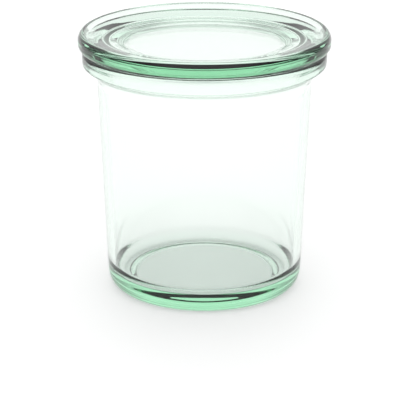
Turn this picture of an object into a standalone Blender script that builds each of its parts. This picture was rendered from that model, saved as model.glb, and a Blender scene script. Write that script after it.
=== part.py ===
# Glass preserving jar with its loose glass lid resting on the rim.
# Lengths are in metres, +Z is up and the jar stands on the plane z = 0.
# Both parts are turned shapes: a profile at +X swept round the Z axis.

import math

import bpy

# Turning
TURN_STEPS = 96
MERGE_DISTANCE = 0.00001
ARC_STEPS = 5

# Jar body, a straight taper between two measured heights
BODY_LOW_HEIGHT = 0.0050
BODY_LOW_RADIUS = 0.03495
BODY_HIGH_HEIGHT = 0.0750
BODY_HIGH_RADIUS = 0.03790
WALL_THICKNESS = 0.0027

# Jar base
CONTACT_OUTER_RADIUS = 0.0305
CONTACT_INNER_RADIUS = 0.0272
BASE_CORNER_HEIGHT = 0.0060
PUSH_UP_HEIGHT = 0.0014
PUSH_UP_RADIUS = 0.0245
FLOOR_HEIGHT = 0.0060
FLOOR_RADIUS = 0.0275
FLOOR_CORNER_HEIGHT = 0.0045

# Jar rim
RIM_TOP_HEIGHT = 0.0867
RIM_RADIUS = 0.0431
RIM_TOP_ROUND = 0.0016
RIM_UNDERSIDE_HEIGHT = 0.0814
RIM_LOWER_ROUND = 0.0013
RIM_FILLET_END_HEIGHT = 0.0745
MOUTH_RADIUS = 0.0363
MOUTH_EDGE_ROUND = 0.0008
MOUTH_SEAT_HEIGHT = 0.0835
INNER_WALL_TOP_HEIGHT = 0.0780

# Lid flange
SEAT_GAP = 0.0003
LID_RADIUS = 0.0445
FLANGE_UNDERSIDE_HEIGHT = RIM_TOP_HEIGHT + SEAT_GAP
FLANGE_TOP_HEIGHT = 0.09316
FLANGE_CREST_RADIUS = 0.0415
FLANGE_TOP_ROUND_WIDTH = 0.0020
FLANGE_TOP_ROUND_HEIGHT = 0.0029
FLANGE_LOWER_ROUND_WIDTH = 0.0030
FLANGE_LOWER_ROUND_HEIGHT = 0.0024

# Lid dish and panel
DISH_EDGE_RADIUS = 0.0341
DISH_EDGE_HEIGHT = 0.0918
PANEL_RADIUS = 0.0280
PANEL_HEIGHT = 0.0896
PANEL_FILLET = 0.0008
PANEL_UNDERSIDE_HEIGHT = 0.0856
PANEL_UNDERSIDE_RADIUS = 0.0300

# Lid plug, the ring below the flange that sits inside the mouth
PLUG_RADIUS = 0.0356
PLUG_LOWER_HEIGHT = 0.0846
PLUG_CORNER = 0.0010
PLUG_INNER_RADIUS = 0.0318

# Glass seen as one plain colour on the solids
GLASS_COLOUR = (0.80, 0.90, 0.84, 1.0)
GLASS_ROUGHNESS = 0.05


def body_radius(height):
    """Outer radius of the tapered body at a height."""
    slope = (BODY_HIGH_RADIUS - BODY_LOW_RADIUS) / (BODY_HIGH_HEIGHT - BODY_LOW_HEIGHT)
    return BODY_LOW_RADIUS + slope * (height - BODY_LOW_HEIGHT)


def arc(centre_r, centre_z, width, height, start, end, steps=ARC_STEPS):
    """Points of an ellipse arc from a start to an end angle in degrees."""
    points = []
    for index in range(steps + 1):
        angle = math.radians(start + (end - start) * index / steps)
        points.append((centre_r + width * math.cos(angle), centre_z + height * math.sin(angle)))
    return points


def jar_profile():
    """Profile from the middle of the floor, up inside, over the rim and down outside."""
    corner_top = FLOOR_HEIGHT + FLOOR_CORNER_HEIGHT
    inner_low = body_radius(corner_top) - WALL_THICKNESS
    inner_high = body_radius(INNER_WALL_TOP_HEIGHT) - WALL_THICKNESS
    neck = body_radius(RIM_FILLET_END_HEIGHT)
    fillet_width = RIM_RADIUS - RIM_LOWER_ROUND - neck
    fillet_height = RIM_UNDERSIDE_HEIGHT - RIM_FILLET_END_HEIGHT
    corner_side = body_radius(BASE_CORNER_HEIGHT)
    points = [(0.0, FLOOR_HEIGHT)]
    points += arc(FLOOR_RADIUS, corner_top, inner_low - FLOOR_RADIUS, FLOOR_CORNER_HEIGHT, -90, 0)
    points.append((inner_high, INNER_WALL_TOP_HEIGHT))
    points.append((MOUTH_RADIUS, MOUTH_SEAT_HEIGHT))
    points += arc(MOUTH_RADIUS + MOUTH_EDGE_ROUND, RIM_TOP_HEIGHT - MOUTH_EDGE_ROUND,
                  MOUTH_EDGE_ROUND, MOUTH_EDGE_ROUND, 180, 90, 3)
    points += arc(RIM_RADIUS - RIM_TOP_ROUND, RIM_TOP_HEIGHT - RIM_TOP_ROUND,
                  RIM_TOP_ROUND, RIM_TOP_ROUND, 90, 0)
    points += arc(RIM_RADIUS - RIM_LOWER_ROUND, RIM_UNDERSIDE_HEIGHT + RIM_LOWER_ROUND,
                  RIM_LOWER_ROUND, RIM_LOWER_ROUND, 0, -90, 4)
    points += arc(RIM_RADIUS - RIM_LOWER_ROUND, RIM_FILLET_END_HEIGHT,
                  fillet_width, fillet_height, 90, 180, 6)[1:]
    points += arc(CONTACT_OUTER_RADIUS, BASE_CORNER_HEIGHT,
                  corner_side - CONTACT_OUTER_RADIUS, BASE_CORNER_HEIGHT, 0, -90, 6)
    points.append((CONTACT_INNER_RADIUS, 0.0))
    points.append((PUSH_UP_RADIUS, PUSH_UP_HEIGHT))
    points.append((0.0, PUSH_UP_HEIGHT))
    return points


def lid_profile():
    """Profile from the middle of the panel, over the flange and back below the plug."""
    points = [(0.0, PANEL_HEIGHT)]
    points.append((PANEL_RADIUS - PANEL_FILLET, PANEL_HEIGHT))
    points.append((PANEL_RADIUS + PANEL_FILLET, PANEL_HEIGHT + PANEL_FILLET / 2))
    points.append((DISH_EDGE_RADIUS - PANEL_FILLET, DISH_EDGE_HEIGHT - PANEL_FILLET / 3))
    points.append((DISH_EDGE_RADIUS + PANEL_FILLET, DISH_EDGE_HEIGHT + PANEL_FILLET / 4))
    points.append((FLANGE_CREST_RADIUS - PANEL_FILLET, FLANGE_TOP_HEIGHT - PANEL_FILLET / 8))
    points += arc(LID_RADIUS - FLANGE_TOP_ROUND_WIDTH, FLANGE_TOP_HEIGHT - FLANGE_TOP_ROUND_HEIGHT,
                  FLANGE_TOP_ROUND_WIDTH, FLANGE_TOP_ROUND_HEIGHT, 90, 0, 6)
    points += arc(LID_RADIUS - FLANGE_LOWER_ROUND_WIDTH,
                  FLANGE_UNDERSIDE_HEIGHT + FLANGE_LOWER_ROUND_HEIGHT,
                  FLANGE_LOWER_ROUND_WIDTH, FLANGE_LOWER_ROUND_HEIGHT, 0, -90, 6)
    points.append((PLUG_RADIUS, FLANGE_UNDERSIDE_HEIGHT))
    points += arc(PLUG_RADIUS - PLUG_CORNER, PLUG_LOWER_HEIGHT + PLUG_CORNER,
                  PLUG_CORNER, PLUG_CORNER, 0, -90, 3)
    points.append((PLUG_INNER_RADIUS, PLUG_LOWER_HEIGHT))
    points.append((PANEL_UNDERSIDE_RADIUS, PANEL_UNDERSIDE_HEIGHT))
    points.append((0.0, PANEL_UNDERSIDE_HEIGHT))
    return points


def glass_material(name):
    """Pale green glass."""
    material = bpy.data.materials.new(name)
    material.use_nodes = True
    shader = material.node_tree.nodes["Principled BSDF"]
    shader.inputs["Base Color"].default_value = GLASS_COLOUR
    shader.inputs["Roughness"].default_value = GLASS_ROUGHNESS
    shader.inputs["Metallic"].default_value = 0.0
    material.diffuse_color = GLASS_COLOUR
    return material


def turned(name, points, collection):
    """A closed body turned from a profile by a Screw modifier."""
    mesh = bpy.data.meshes.new(name)
    edges = [(index, index + 1) for index in range(len(points) - 1)]
    mesh.from_pydata([(radius, 0.0, height) for radius, height in points], edges, [])
    mesh.update()
    body = bpy.data.objects.new(name, mesh)
    collection.objects.link(body)
    mesh.materials.append(glass_material(name + "_glass"))
    screw = body.modifiers.new("turn", "SCREW")
    screw.axis = "Z"
    screw.angle = 2 * math.pi
    screw.steps = TURN_STEPS
    screw.render_steps = TURN_STEPS
    screw.use_merge_vertices = True
    screw.merge_threshold = MERGE_DISTANCE
    screw.use_smooth_shade = True
    return body


for old in list(bpy.data.objects):
    bpy.data.objects.remove(old, do_unlink=True)

jar_parts = bpy.data.collections.new("preserving_jar")
bpy.context.scene.collection.children.link(jar_parts)
turned("jar", jar_profile(), jar_parts)
turned("lid", lid_profile(), jar_parts)
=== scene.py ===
import math

import bpy
import numpy as np
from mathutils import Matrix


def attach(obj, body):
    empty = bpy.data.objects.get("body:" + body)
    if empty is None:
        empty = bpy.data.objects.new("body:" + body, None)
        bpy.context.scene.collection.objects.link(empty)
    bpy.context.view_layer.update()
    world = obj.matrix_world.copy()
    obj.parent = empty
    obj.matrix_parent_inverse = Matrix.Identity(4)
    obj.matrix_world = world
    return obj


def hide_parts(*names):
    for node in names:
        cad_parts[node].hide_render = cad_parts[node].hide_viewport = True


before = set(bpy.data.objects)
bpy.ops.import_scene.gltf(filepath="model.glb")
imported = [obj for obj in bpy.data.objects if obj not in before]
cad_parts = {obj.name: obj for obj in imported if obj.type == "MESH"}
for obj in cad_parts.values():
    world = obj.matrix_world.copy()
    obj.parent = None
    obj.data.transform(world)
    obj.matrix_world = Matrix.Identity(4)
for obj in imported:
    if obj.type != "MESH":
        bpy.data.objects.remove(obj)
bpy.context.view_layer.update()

MM = 0.001

# Turned surfaces, lengths in millimetres
ROUND_STEPS = 360
ARC_STEPS = 18
SMALL_ARC_STEPS = 12
EDGE_ARC_STEPS = 8
WIDE_ARC_STEPS = 24
PLUG_ARC_STEPS = 10
LINE_STEP = 0.9

# Jar body and base
BODY_LOW_HEIGHT = 5.0
BODY_LOW_RADIUS = 34.95
BODY_HIGH_RADIUS = 37.90
BODY_RISE = 70.0
WALL_THICKNESS = 2.7
FLOOR_HEIGHT = 6.0
FLOOR_RADIUS = 27.5
FLOOR_CORNER_HEIGHT = 4.5
CONTACT_OUTER_RADIUS = 30.5
CONTACT_INNER_RADIUS = 27.2
BASE_CORNER_HEIGHT = 6.0
PUSH_UP_HEIGHT = 1.4
PUSH_UP_RADIUS = 24.5

# Jar rim
RIM_TOP_HEIGHT = 86.7
RIM_RADIUS = 43.1
RIM_TOP_ROUND = 1.6
RIM_UNDERSIDE_HEIGHT = 81.4
RIM_LOWER_ROUND = 1.3
RIM_FILLET_END_HEIGHT = 74.5
MOUTH_RADIUS = 36.3
MOUTH_EDGE_ROUND = 0.8
MOUTH_SEAT_HEIGHT = 83.5
INNER_WALL_TOP_HEIGHT = 78.0

# Lid, from the panel out to the flange, then the plug below it
PANEL_HEIGHT = 89.6
PANEL_RADIUS = 27.2
DISH_FOOT = (28.8, 90.0)
DISH_SLOPE_TOP = (33.3, 91.53)
DISH_EDGE = (34.9, 92.0)
FLANGE_CREST = (40.7, 93.06)
LID_RADIUS = 44.5
FLANGE_TOP_HEIGHT = 93.16
FLANGE_TOP_ROUND = (2.0, 2.9)
FLANGE_UNDERSIDE_HEIGHT = 87.0
FLANGE_LOWER_ROUND = (3.0, 2.4)
PLUG_RADIUS = 35.6
PLUG_LOWER_HEIGHT = 84.6
PLUG_CORNER = 1.0
PLUG_INNER_RADIUS = 31.8
PANEL_UNDERSIDE_RADIUS = 30.0
PANEL_UNDERSIDE_HEIGHT = 85.6

# Glass
GLASS_IOR = 1.52
GLASS_ROUGHNESS = 0.0
ABSORB_COLOUR = (0.125, 0.8125, 0.40, 1.0)
ABSORB_DENSITY = 16.0

# Pale floor, lengths in metres
FLOOR_SIZE = 8.0
FLOOR_DROP = 0.0002
FLOOR_COLOUR = (0.9, 0.9, 0.9, 1)
FLOOR_ROUGHNESS = 0.6
FLOOR_GLOW_COLOUR = (1, 1, 1, 1)
FLOOR_GLOW = 0.35

# Studio light by direction: full behind, above and in front, weaker far to the sides
FULL_LIGHT = 1.0
SIDE_LIGHT = 0.25
SIDE_FADE_START = 0.45
SIDE_FADE_END = 0.9

# Camera fitted to the outline, lengths in metres
CAMERA_PITCH = 19.33
CAMERA_DISTANCE = 0.700
CAMERA_AIM_HEIGHT = 0.03032
CAMERA_OFFSET_X = -0.0016
FOCAL_PIXELS = 1941.07
FRAME_PIXELS = 400
SENSOR_WIDTH = 36.0


def ellipse(centre_r, centre_z, width, height, start, end, steps=ARC_STEPS):
    """Ellipse arc: centre plus width times cosine and height times sine of the angle."""
    angle = np.radians(np.linspace(start, end, steps + 1))
    return np.c_[centre_r + width * np.cos(angle), centre_z + height * np.sin(angle)]


def body_radius(height):
    """Outer radius of the body in mm, a straight line in height."""
    return BODY_LOW_RADIUS + (BODY_HIGH_RADIUS - BODY_LOW_RADIUS) * (height - BODY_LOW_HEIGHT) / BODY_RISE


def filled(parts):
    """Joins arcs and points and adds evenly spaced points along each long straight run."""
    points = np.vstack(parts)
    out = [points[:1]]
    for start, end in zip(points[:-1], points[1:]):
        length = np.hypot(*(end - start))
        count = max(1, int(math.ceil(length / LINE_STEP)))
        share = np.linspace(0.0, 1.0, count + 1)[1:, None]
        out.append(start + (end - start) * share)
    return np.vstack(out)


def jar_profile():
    """Jar section in mm, from the middle of the floor over the rim to the middle of the base."""
    corner_top = FLOOR_HEIGHT + FLOOR_CORNER_HEIGHT
    inner_low = body_radius(corner_top) - WALL_THICKNESS
    inner_high = body_radius(INNER_WALL_TOP_HEIGHT) - WALL_THICKNESS
    neck = body_radius(RIM_FILLET_END_HEIGHT)
    side = body_radius(BASE_CORNER_HEIGHT)
    top_centre = RIM_RADIUS - RIM_TOP_ROUND
    lower_centre = RIM_RADIUS - RIM_LOWER_ROUND
    return filled([
        [[0.0, FLOOR_HEIGHT]],
        ellipse(FLOOR_RADIUS, corner_top, inner_low - FLOOR_RADIUS, FLOOR_CORNER_HEIGHT, -90, 0),
        [[inner_high, INNER_WALL_TOP_HEIGHT], [MOUTH_RADIUS, MOUTH_SEAT_HEIGHT]],
        ellipse(MOUTH_RADIUS + MOUTH_EDGE_ROUND, RIM_TOP_HEIGHT - MOUTH_EDGE_ROUND,
                MOUTH_EDGE_ROUND, MOUTH_EDGE_ROUND, 180, 90, EDGE_ARC_STEPS),
        ellipse(top_centre, RIM_TOP_HEIGHT - RIM_TOP_ROUND,
                RIM_TOP_ROUND, RIM_TOP_ROUND, 90, 0, SMALL_ARC_STEPS),
        ellipse(lower_centre, RIM_UNDERSIDE_HEIGHT + RIM_LOWER_ROUND,
                RIM_LOWER_ROUND, RIM_LOWER_ROUND, 0, -90, SMALL_ARC_STEPS),
        ellipse(lower_centre, RIM_FILLET_END_HEIGHT, lower_centre - neck,
                RIM_UNDERSIDE_HEIGHT - RIM_FILLET_END_HEIGHT, 90, 180, WIDE_ARC_STEPS)[1:],
        ellipse(CONTACT_OUTER_RADIUS, BASE_CORNER_HEIGHT, side - CONTACT_OUTER_RADIUS,
                BASE_CORNER_HEIGHT, 0, -90, WIDE_ARC_STEPS),
        [[CONTACT_INNER_RADIUS, 0.0], [PUSH_UP_RADIUS, PUSH_UP_HEIGHT], [0.0, PUSH_UP_HEIGHT]],
    ])


def lid_profile():
    """Lid section in mm, from the middle of the panel over the flange to the middle below."""
    top_width, top_height = FLANGE_TOP_ROUND
    lower_width, lower_height = FLANGE_LOWER_ROUND
    return filled([
        [[0.0, PANEL_HEIGHT], [PANEL_RADIUS, PANEL_HEIGHT],
         DISH_FOOT, DISH_SLOPE_TOP, DISH_EDGE, FLANGE_CREST],
        ellipse(LID_RADIUS - top_width, FLANGE_TOP_HEIGHT - top_height, top_width, top_height, 90, 0),
        ellipse(LID_RADIUS - lower_width, FLANGE_UNDERSIDE_HEIGHT + lower_height,
                lower_width, lower_height, 0, -90),
        [[PLUG_RADIUS, FLANGE_UNDERSIDE_HEIGHT]],
        ellipse(PLUG_RADIUS - PLUG_CORNER, PLUG_LOWER_HEIGHT + PLUG_CORNER,
                PLUG_CORNER, PLUG_CORNER, 0, -90, PLUG_ARC_STEPS),
        [[PLUG_INNER_RADIUS, PLUG_LOWER_HEIGHT],
         [PANEL_UNDERSIDE_RADIUS, PANEL_UNDERSIDE_HEIGHT], [0.0, PANEL_UNDERSIDE_HEIGHT]],
    ])


def turned(name, profile):
    """Surface of revolution: radius times cosine and sine of the angle, height unchanged."""
    inner = profile[1:-1]
    angle = np.linspace(0.0, 2 * np.pi, ROUND_STEPS, endpoint=False)
    ring = np.stack([inner[:, 0, None] * np.cos(angle), inner[:, 0, None] * np.sin(angle),
                     np.repeat(inner[:, 1, None], ROUND_STEPS, 1)], -1).reshape(-1, 3)
    poles = np.array([[0, 0, profile[0, 1]], [0, 0, profile[-1, 1]]])
    points = np.vstack([ring, poles]) * MM
    rows, turn = len(inner), ROUND_STEPS
    i, j = np.meshgrid(np.arange(rows - 1), np.arange(turn), indexing="ij")
    following = (j + 1) % turn
    quads = np.stack([i * turn + j, (i + 1) * turn + j, (i + 1) * turn + following,
                      i * turn + following], -1).reshape(-1, 4)
    j = np.arange(turn)
    following = (j + 1) % turn
    first = np.c_[np.full(turn, rows * turn), j, following]
    last = (rows - 1) * turn
    final = np.c_[np.full(turn, rows * turn + 1), last + following, last + j]
    mesh = bpy.data.meshes.new(name)
    mesh.from_pydata(points.tolist(), [], quads.tolist() + first.tolist() + final.tolist())
    mesh.polygons.foreach_set("use_smooth", np.ones(len(mesh.polygons), bool))
    mesh.update()
    piece = bpy.data.objects.new(name, mesh)
    bpy.context.scene.collection.objects.link(piece)
    return piece


def glass_material(name):
    """Clear glass whose green comes from plain absorption in its thickness."""
    material = bpy.data.materials.new(name)
    material.use_nodes = True
    nodes, links = material.node_tree.nodes, material.node_tree.links
    shader = nodes["Principled BSDF"]
    shader.inputs["Base Color"].default_value = (1, 1, 1, 1)
    shader.inputs["Roughness"].default_value = GLASS_ROUGHNESS
    shader.inputs["IOR"].default_value = GLASS_IOR
    shader.inputs["Transmission Weight"].default_value = 1.0
    absorb = nodes.new("ShaderNodeVolumeAbsorption")
    absorb.inputs["Color"].default_value = ABSORB_COLOUR
    absorb.inputs["Density"].default_value = ABSORB_DENSITY
    links.new(absorb.outputs["Volume"], nodes["Material Output"].inputs["Volume"])
    return material


def stage_plane(name, size):
    """A flat square on the plane the jar stands on."""
    half = size / 2
    mesh = bpy.data.meshes.new(name)
    mesh.from_pydata([(-half, -half, 0), (half, -half, 0), (half, half, 0), (-half, half, 0)],
                     [], [(0, 1, 2, 3)])
    piece = bpy.data.objects.new(name, mesh)
    bpy.context.scene.collection.objects.link(piece)
    return piece


for node, profile in (("jar", jar_profile()), ("lid", lid_profile())):
    piece = turned(node + "_glass", profile)
    piece.data.materials.append(glass_material(node + "_glass"))
    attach(piece, "root")
    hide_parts(node)

# Pale floor
floor = stage_plane("floor", FLOOR_SIZE)
floor.location.z = -FLOOR_DROP
pale = bpy.data.materials.new("floor")
pale.use_nodes = True
surface = pale.node_tree.nodes["Principled BSDF"]
surface.inputs["Base Color"].default_value = FLOOR_COLOUR
surface.inputs["Roughness"].default_value = FLOOR_ROUGHNESS
surface.inputs["Emission Color"].default_value = FLOOR_GLOW_COLOUR
surface.inputs["Emission Strength"].default_value = FLOOR_GLOW
floor.data.materials.append(pale)

# Soft studio light
world = bpy.data.worlds.new("studio")
bpy.context.scene.world = world
world.use_nodes = True
nodes, links = world.node_tree.nodes, world.node_tree.links
direction = nodes.new("ShaderNodeTexCoord")
split = nodes.new("ShaderNodeSeparateXYZ")
links.new(direction.outputs["Generated"], split.inputs[0])
side = nodes.new("ShaderNodeMath")
side.operation = "ABSOLUTE"
links.new(split.outputs["X"], side.inputs[0])
fade = nodes.new("ShaderNodeMapRange")
fade.inputs["From Min"].default_value = SIDE_FADE_START
fade.inputs["From Max"].default_value = SIDE_FADE_END
fade.inputs["To Min"].default_value = FULL_LIGHT
fade.inputs["To Max"].default_value = SIDE_LIGHT
links.new(side.outputs[0], fade.inputs["Value"])
links.new(fade.outputs["Result"], nodes["Background"].inputs["Color"])
nodes["Background"].inputs["Strength"].default_value = 1.0

# Camera at the photo's angle
camera_data = bpy.data.cameras.new("camera")
camera = bpy.data.objects.new("camera", camera_data)
bpy.context.scene.collection.objects.link(camera)
pitch = math.radians(CAMERA_PITCH)
camera.location = (CAMERA_OFFSET_X, -CAMERA_DISTANCE * math.cos(pitch),
                   CAMERA_AIM_HEIGHT + CAMERA_DISTANCE * math.sin(pitch))
camera.rotation_euler = (math.radians(90) - pitch, 0, 0)
camera_data.sensor_width = SENSOR_WIDTH
camera_data.lens = FOCAL_PIXELS / FRAME_PIXELS * SENSOR_WIDTH
bpy.context.scene.camera = camera
bpy.context.scene.view_settings.view_transform = "Standard"
